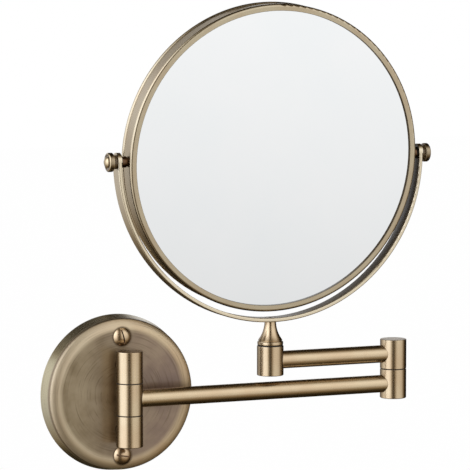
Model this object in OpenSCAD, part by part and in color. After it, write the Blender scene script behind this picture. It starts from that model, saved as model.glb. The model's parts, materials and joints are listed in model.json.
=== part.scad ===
// Extendable shaving mirror. A round wall plate carries a three-knuckle hinge. A long lower arm swings on
// it, a short upper arm folds back above the lower one, and a half-ring yoke on the upper arm's end holds a
// round two-sided mirror between two thumb screws.
// Origin: centre of the wall plate's back face. +X runs along the arms, +Y into the wall, +Z up. Millimetres.

/* [Wall plate] */
// Radius of the rim where it meets the wall
rim_r = 52.9; // [50:0.1:66]
// How much smaller the rim is at its front edge
rim_draft = 2; // [0:0.1:4]
// Height of the rim off the wall
rim_h = 12; // [9:0.1:16]
// Width of the rounded shoulder between rim and face
shoulder_w = 7.3; // [5:0.1:10]
// Height of the rounded shoulder
shoulder_h = 2.6; // [1.5:0.1:3.5]
// Thickness of the rim's wall
rim_wall = 2.4; // [1.5:0.1:4]
// Thickness of the face
face_t = 3.5; // [2.5:0.1:5]
// Distance from the rim to a wall screw's centre
screw_inset = 12.9; // [11:0.1:13]
// How far the hinge and the screws sit below the plate's centre
hinge_drop = 1; // [0:0.1:3]

/* [Wall screws] */
// Radius of the domed head
wall_head_r = 6.4; // [4.5:0.1:6.5]
// Height of the domed head
wall_head_h = 3.1; // [2:0.1:3.5]
// Radius of the plain shank inside the plate
wall_shank_r = 2.45; // [2:0.05:2.6]
// Radius of the thread that goes into the wall
wall_thread_r = 2.2; // [1.8:0.05:2.4]
// Length of thread behind the plate
wall_thread_len = 28; // [15:1:50]
// Wall of the tube that each screw passes through
screw_tube_wall = 3; // [2:0.1:4]
// Width of the driver slot
slot_w = 1.3; // [0.8:0.1:2]
// Depth of the driver slot
slot_d = 1.4; // [0.6:0.1:2]

/* [Hinge at the wall] */
// Distance from the wall to the hinge's axis
hinge_out = 28; // [25:0.1:40]
// Radius of every hinge barrel
barrel_r = 9; // [8:0.1:12]
// Height of each of the three knuckles
knuckle_h = 21; // [19:0.1:30]
// Radius of the posts that hold the outer knuckles off the plate
post_r = 5; // [4:0.1:6]
// How deep a post sits in the plate's face
post_seat = 1; // [0.4:0.1:1.5]
// Chamfer on the open ends of the barrels
barrel_chamfer = 0.5; // [0.2:0.1:1]
// Radius of the screws that hold the posts from behind the plate
post_screw_r = 2.5; // [2:0.1:2.8]
// Length of those screws inside the posts
post_thread_len = 8; // [5:0.5:8]
// Radius of those screws' heads
post_head_r = 4.4; // [3.6:0.1:5]
// Height of those screws' heads
post_head_h = 3; // [2.2:0.1:4]

/* [Arms] */
// Length of the lower arm between its two hinge axes
lower_len = 193.5; // [140:0.5:260]
// Length of the upper arm from the elbow to the yoke's stem
upper_len = 91.8; // [60:0.1:120]
// Outer radius of both arm tubes
tube_r = 6; // [5:0.1:7.4]
// Wall of the arm tubes
tube_wall = 1.5; // [1:0.1:2.5]
// How far a tube's end goes in past the saddle line on its barrel
tube_sink = 0.9; // [0.5:0.1:1.5]
// Height of each elbow barrel and of the stem's socket
elbow_h = 20; // [19:0.1:30]

/* [Pivots] */
// Radius of the pins that the barrels turn on
pin_r = 3.5; // [3:0.1:4.4]
// Radius of the thread on the end of a pin
pin_thread_r = 3; // [2:0.1:3.2]
// Length of the thread on the end of a pin
pin_thread_len = 11; // [6:0.5:12]
// How far a pin's head is wider than the pin
pin_head_lip = 1.3; // [0.8:0.1:1.6]
// Height of a pin's head
pin_head_h = 4; // [3:0.1:4.2]
// Wall of the flanged bushes
bush_wall = 1.05; // [0.8:0.05:1.5]
// Length of a bush below its flange
bush_len = 9; // [5:0.1:9]
// Thickness of a bush's flange, which shows as the seam between barrels
flange_t = 0.5; // [0.3:0.05:1]
// How far a flange stays inside the barrel's surface
flange_inset = 0.35; // [0.1:0.05:1]
// Height of the disc springs that keep the pivots stiff
spring_h = 0.8; // [0.6:0.1:1]
// Thickness of the disc springs' sheet
spring_t = 0.5; // [0.3:0.1:0.5]
// Depth of the pocket under a barrel that hides a pin's head
pocket_d = 7.5; // [7.4:0.1:8]
// Thickness of the cap that closes a pocket
cap_t = 2; // [1:0.1:2.2]

/* [Stem neck] */
// Radius of the bead at the foot of the neck
bead_r = 8.7; // [7:0.1:9]
// Height of the bead
bead_h = 2.8; // [2:0.1:4]
// Radius of the neck where it meets the yoke
neck_top_r = 3.9; // [3.2:0.1:5]
// Height of the whole neck above its seat
neck_h = 15.9; // [12:0.1:25]
// Radius of the screws in the neck
neck_screw_r = 2; // [1.5:0.1:2.2]
// Length of those screws' threads inside the neck
neck_thread_len = 9; // [5:0.5:10]
// Height of the stem screw's head
stem_head_h = 2.6; // [2.2:0.1:3]
// Radius of the stem screw's head
stem_head_r = 3.8; // [3.2:0.1:4.4]
// Thickness of the washer under the stem screw's head
stem_washer_t = 0.8; // [0.5:0.1:1.2]
// Rounding of the bead's two edges
bead_round = 0.9; // [0.5:0.1:1]
// Radius of the yoke screw's countersunk head
yoke_head_r = 3.9; // [3.4:0.1:4.4]
// How far the yoke screw's head sits below the yoke's inner face
yoke_head_sink = 0.12; // [0.05:0.01:0.2]

/* [Yoke] */
// Thickness of the yoke's strip
yoke_t = 2.7; // [2:0.1:4]
// Width of the yoke's strip from front to back
yoke_w = 11; // [10:0.1:14]
// Rounding along the strip's four edges
yoke_round = 0.8; // [0.3:0.1:0.95]
// Height of the strip's ends above the thumb screws
yoke_end = 6.2; // [6:0.1:10]
// Gap between the mirror's rim and the inside of the yoke
yoke_gap = 4.3; // [3:0.1:10]

/* [Mirror] */
// Radius over the mirror's rim
mirror_r = 104; // [75:0.5:130]
// Thickness of the mirror from front to back
mirror_t = 18; // [13:0.1:20]
// Forward lean of the mirror at rest, in degrees
mirror_lean = 4; // [-15:0.5:15]
// Visible width of the rim around the glass
lip_w = 4.5; // [4.2:0.1:7]
// Thickness of the rim's lip over the glass
lip_t = 1.5; // [0.8:0.1:1.5]
// Rounding of the lip's inner edge
lip_round = 0.2; // [0.1:0.05:0.4]
// Radius of the rim's rounded bead
rim_bead_r = 1.8; // [1.5:0.1:2]
// How far the side band sits inside the rim
band_inset = 0.8; // [0.5:0.1:1]
// Wall of the side band
band_wall = 1.6; // [1:0.1:2]
// Thickness of the plain glass
glass_t = 3; // [2:0.1:4]
// Thickness of the magnifying glass
lens_t = 2.5; // [2:0.1:3]
// Radius of curvature of the magnifying glass
lens_curve_r = 1300; // [1200:10:3000]
// Width of the foam ring between the two glasses
foam_w = 8; // [7:0.1:12]

/* [Thumb screws] */
// Radius of the knob's neck
knob_neck_r = 4.65; // [3.5:0.05:5]
// Length of the knob's neck
knob_neck_len = 2.3; // [1:0.1:4]
// Radius of the knob's disc
knob_r = 6.4; // [5.5:0.1:8]
// Length of the knob's disc
knob_len = 3.6; // [3:0.1:6]
// Rounding of the disc's two edges
knob_round = 1; // [0.5:0.1:1.4]
// Radius of the small dome on the knob's end
dome_r = 4.1; // [3:0.1:5]
// Height of the small dome
dome_h = 2.1; // [1:0.1:2.5]
// Radius of the thumb screw's thread
thumb_r = 2; // [1.6:0.05:2.2]
// Radius of the collar between mirror and yoke
collar_r = 3.8; // [3.6:0.1:5]
// How far the collar's foot is set in
collar_step = 0.5; // [0.3:0.1:0.8]
// Thickness of the washer between collar and yoke
washer_t = 0.6; // [0.4:0.1:1]
// Length of the threaded block from the band towards the mirror's centre
block_len = 6; // [4:0.1:6.3]
// Height of the threaded block
block_h = 10; // [7:0.1:14]

/* [Fits] */
// Radial clearance of a pin that turns in a bush
running_fit = 0.05; // [0.02:0.01:0.09]
// Radial clearance of a piece that is pressed, screwed or brazed in
fixed_fit = 0.02; // [0.01:0.01:0.05]
// Clearance between faces that slide on each other
face_gap = 0.05; // [0.02:0.01:0.1]
// Radial clearance of a screw or a pin in a plain hole
hole_fit = 0.25; // [0.1:0.01:0.3]
// Radial gap around the two glasses inside the band
glass_fit = 0.3; // [0.1:0.05:0.6]
// Gap between the threaded blocks and what lies around them
block_gap = 0.35; // [0.2:0.05:0.6]
// Play between the pivot washers and the yoke, on each side
yoke_play = 0.15; // [0.05:0.05:0.3]
// Room left at the bottom of a tapped hole
thread_spare = 1; // [0.5:0.1:2]

/* [Keys] */
// Radius of the hex key hole in the small socket heads
small_key_r = 1.7; // [1:0.1:2]
// Depth of the hex key hole in the small socket heads
small_key_d = 1.6; // [1:0.1:1.8]
// Radius of the hex key hole in the pins' heads
pin_key_r = 2.4; // [1.5:0.1:3]
// Depth of the hex key hole in the pins' heads
pin_key_d = 2; // [1:0.1:2.4]

/* [Hidden] */
$fn = 128;

// Length added to a cutting shape so that it passes right through
over = 1;

// Wall plate
edge_r = rim_r - rim_draft;
face_r = edge_r - shoulder_w;
plate_d = rim_h + shoulder_h;
shoulder_arc_r = (shoulder_w * shoulder_w + shoulder_h * shoulder_h) / (2 * shoulder_h);
screw_up = rim_r - screw_inset;
wall_hole_r = wall_shank_r + hole_fit;
dome_curve_r = (wall_head_r * wall_head_r + wall_head_h * wall_head_h) / (2 * wall_head_h);

// Length of the posts, from the barrels' middle to their seats in the plate
post_len = hinge_out - plate_d + post_seat;

// Levels, measured up from the lower arm's centre line
arm_z = -hinge_drop;
seam = flange_t + face_gap;
knuckle_pitch = knuckle_h + seam;
upper_z = elbow_h + seam;
neck_z = upper_z + elbow_h / 2 + seam;
yoke_out_r = mirror_r + yoke_gap + yoke_t;
yoke_in_r = mirror_r + yoke_gap;
pivot_z = neck_z + neck_h + yoke_out_r;
stem_x = lower_len - upper_len;

// Barrels, pins and bushes
tube_start = sqrt(barrel_r * barrel_r - tube_r * tube_r) - tube_sink;
bore_r = pin_r + running_fit;
bush_r = bore_r + bush_wall;
pin_hole_r = pin_r + hole_fit;
pin_head_r = pin_r + pin_head_lip;
pocket_r = pin_head_r + hole_fit;

// Stem neck
neck_arc_r = (pow(bead_r - neck_top_r, 2) + pow(neck_h - bead_h, 2)) / (2 * (bead_r - neck_top_r));
csk_d = yoke_head_r - neck_screw_r;

// Mirror head
half_t = mirror_t / 2;
band_r = mirror_r - band_inset;
band_in_r = band_r - band_wall;
glass_r = band_in_r - glass_fit;
lip_in_r = mirror_r - lip_w;
seat_h = half_t - lip_t;
foam_in_r = glass_r - foam_w;
block_w = 2 * (seat_h - glass_t - block_gap);

// Thumb screws, measured along the pivot axis from the mirror's centre
collar_step_r = min(collar_r - collar_step, half_t - 2 * (rim_bead_r + face_gap));
collar_end = yoke_in_r - yoke_play - washer_t;
knob_start = yoke_out_r + face_gap;
thumb_hole_r = thumb_r + running_fit;

// Turns a shape built around +Z so that +Z points out of the wall, along -Y
module facing_out() {
    rotate([90, 0, 0]) children();
}

// Turns a shape built around +Z so that +Z points along +X
module facing_right() {
    rotate([0, 90, 0]) children();
}

// Moves a shape to the axis of the hinge at the wall, at the lower arm's level
module at_hinge() {
    translate([0, -hinge_out, arm_z]) children();
}

// Moves a shape to the elbow's axis, at the lower arm's level
module at_elbow() {
    translate([lower_len, -hinge_out, arm_z]) children();
}

// Moves a shape to the stem's axis, at the lower arm's level
module at_stem() {
    translate([stem_x, -hinge_out, arm_z]) children();
}

// Moves a shape to the mirror's centre, upright
module at_pivot() {
    at_stem() translate([0, 0, pivot_z]) children();
}

// Moves a shape to the mirror's centre and leans it as the mirror leans
module at_mirror() {
    at_pivot() rotate([mirror_lean, 0, 0]) children();
}

// A barrel standing on z = 0, chamfered at its foot, its top or both
module barrel(h, foot = false, top = false) {
    low = foot ? barrel_chamfer : 0;
    high = top ? barrel_chamfer : 0;
    rotate_extrude()
        polygon([
            [0, 0],
            [barrel_r - low, 0],
            [barrel_r, low],
            [barrel_r, h - high],
            [barrel_r - high, h],
            [0, h]
        ]);
}

// The blind socket that an arm tube is brazed into, pointing along +X from a barrel's axis
module tube_socket() {
    translate([tube_start, 0, 0])
        facing_right() cylinder(r = tube_r + fixed_fit, h = barrel_r);
}

// An arm tube between two barrel axes that lie len apart along +X
module arm_tube(len) {
    translate([tube_start, 0, 0]) facing_right() difference() {
        cylinder(r = tube_r, h = len - 2 * tube_start);
        translate([0, 0, -over]) cylinder(r = tube_r - tube_wall, h = len + 2 * over);
    }
}

// A flanged bush whose flange lies on z = 0 and whose tube hangs below
module flanged_bush() {
    difference() {
        union() {
            cylinder(r = barrel_r - flange_inset, h = flange_t);
            translate([0, 0, -bush_len]) cylinder(r = bush_r, h = bush_len + flange_t / 2);
        }
        translate([0, 0, -bush_len - over])
            cylinder(r = bore_r, h = bush_len + flange_t + 2 * over);
    }
}

// The hollow inside a barrel that turns on a pin from below: bush bore at the top, pocket at the foot
module pivot_bore(h) {
    translate([0, 0, h - bush_len]) cylinder(r = bush_r + fixed_fit, h = bush_len + over);
    translate([0, 0, pocket_d]) cylinder(r = pin_hole_r, h = h);
    translate([0, 0, -over]) cylinder(r = pocket_r, h = pocket_d + over);
}

// A disc spring, a shallow cone with its wide edge up, hanging below z = 0
module disc_spring() {
    outer_r = pin_head_r - fixed_fit;
    rotate_extrude()
        polygon([
            [pin_hole_r, -spring_h],
            [outer_r, -spring_t],
            [outer_r, 0],
            [pin_hole_r, -(spring_h - spring_t)]
        ]);
}

// A cap that closes the pocket at a barrel's foot, standing on z = 0
module pocket_cap() {
    cylinder(r = pocket_r - fixed_fit, h = cap_t);
}

// A pin with its head down: shank from z = 0 to shank_len, thread above, hex key hole in the head
module pivot_pin(shank_len) {
    difference() {
        union() {
            translate([0, 0, -pin_head_h]) cylinder(r = pin_head_r, h = pin_head_h);
            cylinder(r = pin_r, h = shank_len);
            cylinder(r = pin_thread_r - fixed_fit, h = shank_len + pin_thread_len);
        }
        translate([0, 0, -pin_head_h - over]) cylinder(r = pin_key_r, h = pin_key_d + over, $fn = 6);
    }
}

// The tapped hole that takes a pin's thread, opening at z = 0 and going up
module pin_thread_hole() {
    translate([0, 0, -over]) cylinder(r = pin_thread_r, h = pin_thread_len + thread_spare + over);
}

// Half of a wall knuckle's post, from the barrel's middle to its seat in the plate
module knuckle_post() {
    translate([0, post_len, 0]) facing_out() cylinder(r = post_r, h = post_len);
}

// The tapped hole in a post's back end
module post_screw_hole() {
    hole_len = post_thread_len + thread_spare;
    translate([0, post_len + over, 0]) facing_out() cylinder(r = post_screw_r, h = hole_len + over);
}

// The plate's outline, from its centre outwards, with the wall at y = 0
module plate_outline() {
    intersection() {
        polygon([[0, 0], [rim_r, 0], [edge_r, rim_h], [edge_r, plate_d], [0, plate_d]]);
        union() {
            square([face_r, plate_d]);
            translate([face_r, plate_d - shoulder_arc_r]) circle(r = shoulder_arc_r);
        }
    }
}

module wall_plate() {
    hollow_d = plate_d - face_t;
    color("#8f7b5c") facing_out() difference() {
        union() {
            rotate_extrude() difference() {
                plate_outline();
                polygon([
                    [-over, -over],
                    [rim_r - rim_wall, -over],
                    [rim_r - rim_wall, 0],
                    [face_r, hollow_d],
                    [-over, hollow_d]
                ]);
            }
            for (side = [-1, 1]) translate([0, arm_z + side * screw_up, 0])
                cylinder(r = wall_hole_r + screw_tube_wall, h = hollow_d + face_t / 2);
        }
        for (side = [-1, 1]) {
            translate([0, arm_z + side * screw_up, -over])
                cylinder(r = wall_hole_r, h = plate_d + 2 * over);
            translate([0, arm_z + side * knuckle_pitch, 0]) {
                cylinder(r = post_screw_r + hole_fit, h = plate_d + over);
                translate([0, 0, plate_d - post_seat])
                    cylinder(r = post_r + running_fit, h = post_seat + over);
            }
        }
    }
}

// One slotted dome-head screw, its head's underside at z = 0 and its tip behind the wall's face
module wall_screw() {
    difference() {
        union() {
            rotate_extrude() intersection() {
                translate([0, wall_head_h - dome_curve_r]) circle(r = dome_curve_r);
                square([wall_head_r, wall_head_h]);
            }
            translate([0, 0, -plate_d]) cylinder(r = wall_shank_r, h = plate_d + over);
            translate([0, 0, -plate_d - wall_thread_len])
                cylinder(r = wall_thread_r, h = wall_thread_len + over);
            translate([0, 0, -plate_d - wall_thread_len - 2 * wall_thread_r])
                cylinder(r1 = 0, r2 = wall_thread_r, h = 2 * wall_thread_r);
        }
        translate([-slot_w / 2, -wall_head_r - over, wall_head_h - slot_d])
            cube([slot_w, 2 * (wall_head_r + over), slot_d + over]);
    }
}

module wall_screws() {
    color("#a48e68") for (side = [-1, 1])
        translate([0, -plate_d, arm_z + side * screw_up]) facing_out() wall_screw();
}

module upper_knuckle() {
    color("#b49a70") at_hinge() translate([0, 0, knuckle_pitch]) difference() {
        union() {
            translate([0, 0, -knuckle_h / 2]) barrel(knuckle_h, top = true);
            knuckle_post();
        }
        translate([0, 0, -knuckle_h / 2]) pin_thread_hole();
        post_screw_hole();
    }
}

module lower_knuckle() {
    color("#b49a70") at_hinge() translate([0, 0, -knuckle_pitch]) difference() {
        union() {
            translate([0, 0, -knuckle_h / 2]) barrel(knuckle_h, foot = true);
            knuckle_post();
        }
        translate([0, 0, -knuckle_h / 2 - over]) cylinder(r = bore_r, h = knuckle_h + 2 * over);
        translate([0, 0, -knuckle_h / 2 - over]) cylinder(r = pocket_r, h = pocket_d + over);
        post_screw_hole();
    }
}

module knuckle_screws() {
    head_z = plate_d - face_t;
    shank_len = face_t - post_seat + post_thread_len;
    color("#8a8a8a") for (side = [-1, 1])
        translate([0, -head_z, arm_z + side * knuckle_pitch]) facing_out() difference() {
            union() {
                translate([0, 0, -post_head_h]) cylinder(r = post_head_r, h = post_head_h);
                cylinder(r = post_screw_r - fixed_fit, h = shank_len);
            }
            translate([0, 0, -post_head_h - over])
                cylinder(r = small_key_r, h = small_key_d + over, $fn = 6);
        }
}

// Height of a wall pin's head seat below the lower arm's centre line
function hinge_seat_z() = -(knuckle_pitch + knuckle_h / 2) + pocket_d;

module hinge_pin() {
    head_z = hinge_seat_z() - spring_h;
    shank_len = knuckle_pitch - knuckle_h / 2 - head_z;
    color("#9a9a9a") at_hinge() translate([0, 0, head_z]) pivot_pin(shank_len);
}

module hinge_disc_spring() {
    color("#707070") at_hinge() translate([0, 0, hinge_seat_z()]) disc_spring();
}

module hinge_cap() {
    color("#a48e68") at_hinge() translate([0, 0, -(knuckle_pitch + knuckle_h / 2)]) pocket_cap();
}

module arm_knuckle() {
    color("#bfa67c") at_hinge() difference() {
        translate([0, 0, -knuckle_h / 2]) barrel(knuckle_h);
        translate([0, 0, -knuckle_h / 2 - over]) cylinder(r = bush_r + fixed_fit, h = knuckle_h + 2 * over);
        tube_socket();
    }
}

module hinge_bushes() {
    color("#2b2620") at_hinge() {
        translate([0, 0, knuckle_h / 2]) flanged_bush();
        translate([0, 0, -knuckle_h / 2]) mirror([0, 0, 1]) flanged_bush();
    }
}

module lower_arm_tube() {
    color("#b8a078") at_hinge() arm_tube(lower_len);
}

module elbow_lower_barrel() {
    color("#bfa67c") at_elbow() difference() {
        translate([0, 0, -elbow_h / 2]) difference() {
            barrel(elbow_h, foot = true);
            pivot_bore(elbow_h);
        }
        mirror([1, 0, 0]) tube_socket();
    }
}

module elbow_bush() {
    color("#2b2620") at_elbow() translate([0, 0, elbow_h / 2]) flanged_bush();
}

module elbow_disc_spring() {
    color("#707070") at_elbow() translate([0, 0, pocket_d - elbow_h / 2]) disc_spring();
}

module elbow_cap() {
    color("#a48e68") at_elbow() translate([0, 0, -elbow_h / 2]) pocket_cap();
}

module elbow_upper_barrel() {
    color("#bfa67c") at_elbow() translate([0, 0, upper_z]) difference() {
        translate([0, 0, -elbow_h / 2]) barrel(elbow_h, top = true);
        translate([0, 0, -elbow_h / 2]) pin_thread_hole();
        mirror([1, 0, 0]) tube_socket();
    }
}

module elbow_pin() {
    head_z = pocket_d - elbow_h / 2 - spring_h - face_gap;
    shank_len = upper_z - elbow_h / 2 - head_z;
    color("#9a9a9a") at_elbow() translate([0, 0, head_z]) pivot_pin(shank_len);
}

module upper_arm_tube() {
    color("#b8a078") at_stem() translate([0, 0, upper_z]) arm_tube(upper_len);
}

module stem_socket() {
    color("#bfa67c") at_stem() translate([0, 0, upper_z]) difference() {
        translate([0, 0, -elbow_h / 2]) difference() {
            barrel(elbow_h, foot = true);
            pivot_bore(elbow_h);
        }
        tube_socket();
    }
}

module stem_bush() {
    color("#2b2620") at_stem() translate([0, 0, upper_z + elbow_h / 2]) flanged_bush();
}

module stem_cap() {
    color("#a48e68") at_stem() translate([0, 0, upper_z - elbow_h / 2]) pocket_cap();
}

// Height of the stem's lower end above the lower arm's centre line
function stem_foot_z() = upper_z - elbow_h / 2 + pocket_d - face_gap;

// The neck's outline above its seat: a rounded bead, then a hollow curve up to the yoke
module neck_outline() {
    square([bead_r - bead_round, bead_h]);
    translate([0, bead_round]) square([bead_r, bead_h - 2 * bead_round]);
    for (level = [bead_round, bead_h - bead_round])
        translate([bead_r - bead_round, level]) circle(r = bead_round);
    difference() {
        translate([0, bead_h - bead_round]) square([bead_r - bead_round, neck_h - bead_h + bead_round]);
        translate([neck_top_r + neck_arc_r, neck_h]) circle(r = neck_arc_r);
        translate([neck_top_r, neck_h]) square([bead_r, over]);
    }
}

module yoke_neck() {
    spigot_len = neck_z - stem_foot_z();
    color("#bfa67c") at_stem() translate([0, 0, neck_z]) difference() {
        union() {
            rotate_extrude() neck_outline();
            translate([0, 0, -spigot_len]) cylinder(r = pin_r, h = spigot_len + bead_h / 2);
        }
        translate([0, yoke_w, neck_h + yoke_out_r])
            facing_out() cylinder(r = yoke_out_r, h = 2 * yoke_w);
        translate([0, 0, -spigot_len - over])
            cylinder(r = neck_screw_r, h = neck_thread_len + thread_spare + over);
        translate([0, 0, neck_h - neck_thread_len - thread_spare])
            cylinder(r = neck_screw_r, h = neck_thread_len + thread_spare + over);
    }
}

module stem_screw() {
    color("#8a8a8a") at_stem() translate([0, 0, stem_foot_z() - stem_washer_t]) difference() {
        union() {
            translate([0, 0, -stem_head_h]) cylinder(r = stem_head_r, h = stem_head_h);
            cylinder(r = neck_screw_r - fixed_fit, h = neck_thread_len + stem_washer_t);
        }
        translate([0, 0, -stem_head_h - over])
            cylinder(r = small_key_r, h = small_key_d + over, $fn = 6);
    }
}

module stem_washer() {
    color("#9a9a9a") at_stem() translate([0, 0, stem_foot_z() - stem_washer_t]) difference() {
        cylinder(r = pin_head_r, h = stem_washer_t);
        translate([0, 0, -over]) cylinder(r = neck_screw_r + fixed_fit, h = stem_washer_t + 2 * over);
    }
}

// The strip's cross-section with rounded edges, from its inner to its outer radius
module strip_section() {
    translate([yoke_in_r, -yoke_w / 2 + yoke_round]) square([yoke_t, yoke_w - 2 * yoke_round]);
    translate([yoke_in_r + yoke_round, -yoke_w / 2]) square([yoke_t - 2 * yoke_round, yoke_w]);
    for (across = [yoke_round, yoke_t - yoke_round])
        for (along = [yoke_round, yoke_w - yoke_round])
            translate([yoke_in_r + across, along - yoke_w / 2]) circle(r = yoke_round);
}

// The rounded end of the strip on the right-hand side, standing on the pivot's level
module strip_end() {
    straight = yoke_end - yoke_w / 2;
    translate([yoke_in_r, -yoke_w / 2, 0]) cube([yoke_t, yoke_w, straight]);
    translate([yoke_in_r, 0, straight]) facing_right() intersection() {
        cylinder(r = yoke_w / 2, h = yoke_t);
        translate([-yoke_w, -yoke_w, 0]) cube([yoke_w, 2 * yoke_w, yoke_t]);
    }
}

module yoke() {
    color("#b49a70") at_pivot() difference() {
        union() {
            facing_out() rotate([0, 0, 180]) rotate_extrude(angle = 180) strip_section();
            strip_end();
            mirror([1, 0, 0]) strip_end();
        }
        translate([-yoke_out_r - over, 0, 0])
            facing_right() cylinder(r = thumb_hole_r, h = 2 * (yoke_out_r + over));
        translate([0, 0, -yoke_out_r - over]) cylinder(r = neck_screw_r + running_fit, h = yoke_t + 2 * over);
        translate([0, 0, -yoke_in_r - csk_d])
            cylinder(r1 = neck_screw_r, r2 = yoke_head_r + over, h = csk_d + over);
    }
}

module yoke_screw() {
    shank_r = neck_screw_r - fixed_fit;
    head_h = csk_d - 2 * yoke_head_sink;
    color("#a48e68") at_pivot() translate([0, 0, -yoke_in_r - yoke_head_sink]) {
        difference() {
            translate([0, 0, -head_h])
                cylinder(r1 = shank_r, r2 = yoke_head_r - 2 * yoke_head_sink, h = head_h);
            translate([-slot_w / 2, -yoke_head_r, -slot_w / 2]) cube([slot_w, 2 * yoke_head_r, slot_w]);
        }
        translate([0, 0, -yoke_t - neck_thread_len])
            cylinder(r = shank_r, h = neck_thread_len + yoke_t - head_h);
    }
}

// Cuts a hole through the mirror's side on both sides, along the pivot axis
module side_holes(r) {
    facing_right() translate([0, 0, -mirror_r - over]) cylinder(r = r, h = 2 * (mirror_r + over));
}

module mirror_band() {
    color("#a08a66") at_mirror() difference() {
        facing_out() rotate_extrude()
            translate([band_in_r, -seat_h]) square([band_wall, 2 * seat_h]);
        side_holes(thumb_r + hole_fit);
    }
}

// Half of the rim's cross-section: a rounded bead outside, a lip with a rounded edge over the glass
module rim_section() {
    bead_x = mirror_r - rim_bead_r;
    bead_y = half_t - rim_bead_r;
    difference() {
        union() {
            translate([bead_x, bead_y]) circle(r = rim_bead_r);
            translate([lip_in_r, seat_h]) square([bead_x - lip_in_r, lip_t - lip_round]);
            translate([lip_in_r + lip_round, seat_h]) square([bead_x - lip_in_r - lip_round, lip_t]);
            translate([lip_in_r + lip_round, half_t - lip_round]) circle(r = lip_round);
        }
        square([band_r + fixed_fit, seat_h]);
    }
}

module front_rim() {
    color("#b8a078") at_mirror() facing_out() rotate_extrude() rim_section();
}

module rear_rim() {
    color("#b8a078") at_mirror() rotate([-90, 0, 0]) rotate_extrude() rim_section();
}

module plain_glass() {
    color("#e8ecee") at_mirror() facing_out()
        translate([0, 0, seat_h - glass_t]) cylinder(r = glass_r, h = glass_t);
}

// How far a sphere of the lens's curve falls away from its top, at distance r from its axis
function lens_drop(r) = lens_curve_r - sqrt(lens_curve_r * lens_curve_r - r * r);

// Level of the magnifying glass's back face at distance r from its axis, measured from the mirror's middle
function lens_back_y(r) = lens_drop(glass_r) - lens_drop(r) - seat_h;

// The magnifying glass curves in towards the mirror's middle, with its hollow side to the back
module magnifying_glass() {
    curve_y = lens_back_y(0) - lens_curve_r;
    color("#dfe4e8") at_mirror() facing_out() rotate_extrude() intersection() {
        translate([0, -seat_h]) square([glass_r, mirror_t]);
        difference() {
            translate([0, curve_y + lens_t]) circle(r = lens_curve_r, $fn = 720);
            translate([0, curve_y]) circle(r = lens_curve_r, $fn = 720);
        }
    }
}

module foam_ring() {
    foam_low = lens_back_y(foam_in_r) + lens_t + face_gap;
    foam_top = seat_h - glass_t;
    cut_len = 2 * (block_len + glass_fit + block_gap);
    color("#3a3a3a") at_mirror() difference() {
        facing_out() rotate_extrude()
            translate([foam_in_r, foam_low]) square([foam_w, foam_top - foam_low]);
        for (side = [-1, 1]) translate([side * band_in_r, 0, 0])
            cube([cut_len, mirror_t, block_h + 2 * block_gap], center = true);
    }
}

module pivot_blocks() {
    color("#8a8a8a") at_mirror() difference() {
        intersection() {
            for (side = [-1, 1]) translate([side * (band_in_r - (block_len - over) / 2), 0, 0])
                cube([block_len + over, block_w, block_h], center = true);
            facing_out() translate([0, 0, -mirror_t])
                cylinder(r = band_in_r - fixed_fit, h = 2 * mirror_t);
        }
        side_holes(thumb_r);
    }
}

// One collar on the right-hand side, saddled onto the band
module pivot_collar() {
    difference() {
        facing_right() union() {
            translate([0, 0, band_r - over]) cylinder(r = collar_step_r, h = collar_end - band_r + over);
            translate([0, 0, mirror_r + fixed_fit])
                cylinder(r = collar_r, h = collar_end - mirror_r - fixed_fit);
        }
        facing_out() translate([0, 0, -mirror_t]) cylinder(r = band_r, h = 2 * mirror_t);
        facing_right() cylinder(r = thumb_hole_r, h = yoke_out_r);
    }
}

module pivot_collars() {
    color("#4a3c26") at_mirror() {
        pivot_collar();
        mirror([1, 0, 0]) pivot_collar();
    }
}

module pivot_washers() {
    color("#1e1c1a") at_mirror() for (side = [0, 1])
        mirror([side, 0, 0]) translate([collar_end, 0, 0]) facing_right() difference() {
            cylinder(r = collar_r, h = washer_t);
            translate([0, 0, -over]) cylinder(r = thumb_hole_r, h = washer_t + 2 * over);
        }
}

// The thumb screw's outline from its axis outwards, with the yoke's outside at y = 0
module knob_outline() {
    disc_y = knob_neck_len;
    dome_y = disc_y + knob_len - knob_round / 2;
    dome_curve = (dome_r * dome_r + dome_h * dome_h) / (2 * dome_h);
    square([knob_neck_r, knob_neck_len + knob_len / 2]);
    translate([0, disc_y]) square([knob_r - knob_round, knob_len]);
    translate([0, disc_y + knob_round]) square([knob_r, knob_len - 2 * knob_round]);
    for (level = [knob_round, knob_len - knob_round])
        translate([knob_r - knob_round, disc_y + level]) circle(r = knob_round);
    translate([0, disc_y]) square([dome_r, knob_len]);
    intersection() {
        translate([0, dome_y + dome_h + knob_round / 2 - dome_curve]) circle(r = dome_curve);
        translate([0, disc_y + knob_len]) square([dome_r, dome_h]);
    }
}

// One thumb screw on the right-hand side
module thumb_screw() {
    shank_end = band_in_r - block_len + thread_spare;
    facing_right() {
        translate([0, 0, knob_start]) rotate_extrude() knob_outline();
        translate([0, 0, shank_end]) cylinder(r = thumb_r - fixed_fit, h = knob_start - shank_end + over);
    }
}

module left_thumb_screw() {
    color("#9c865f") at_mirror() mirror([1, 0, 0]) thumb_screw();
}

module right_thumb_screw() {
    color("#9c865f") at_mirror() thumb_screw();
}

wall_plate();
wall_screws();
upper_knuckle();
lower_knuckle();
knuckle_screws();
hinge_pin();
hinge_disc_spring();
hinge_cap();
arm_knuckle();
hinge_bushes();
lower_arm_tube();
elbow_lower_barrel();
elbow_bush();
elbow_disc_spring();
elbow_cap();
elbow_upper_barrel();
elbow_pin();
upper_arm_tube();
stem_socket();
stem_bush();
stem_cap();
yoke_neck();
stem_screw();
stem_washer();
yoke();
yoke_screw();
mirror_band();
front_rim();
rear_rim();
plain_glass();
magnifying_glass();
foam_ring();
pivot_blocks();
pivot_collars();
pivot_washers();
left_thumb_screw();
right_thumb_screw();
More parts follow.
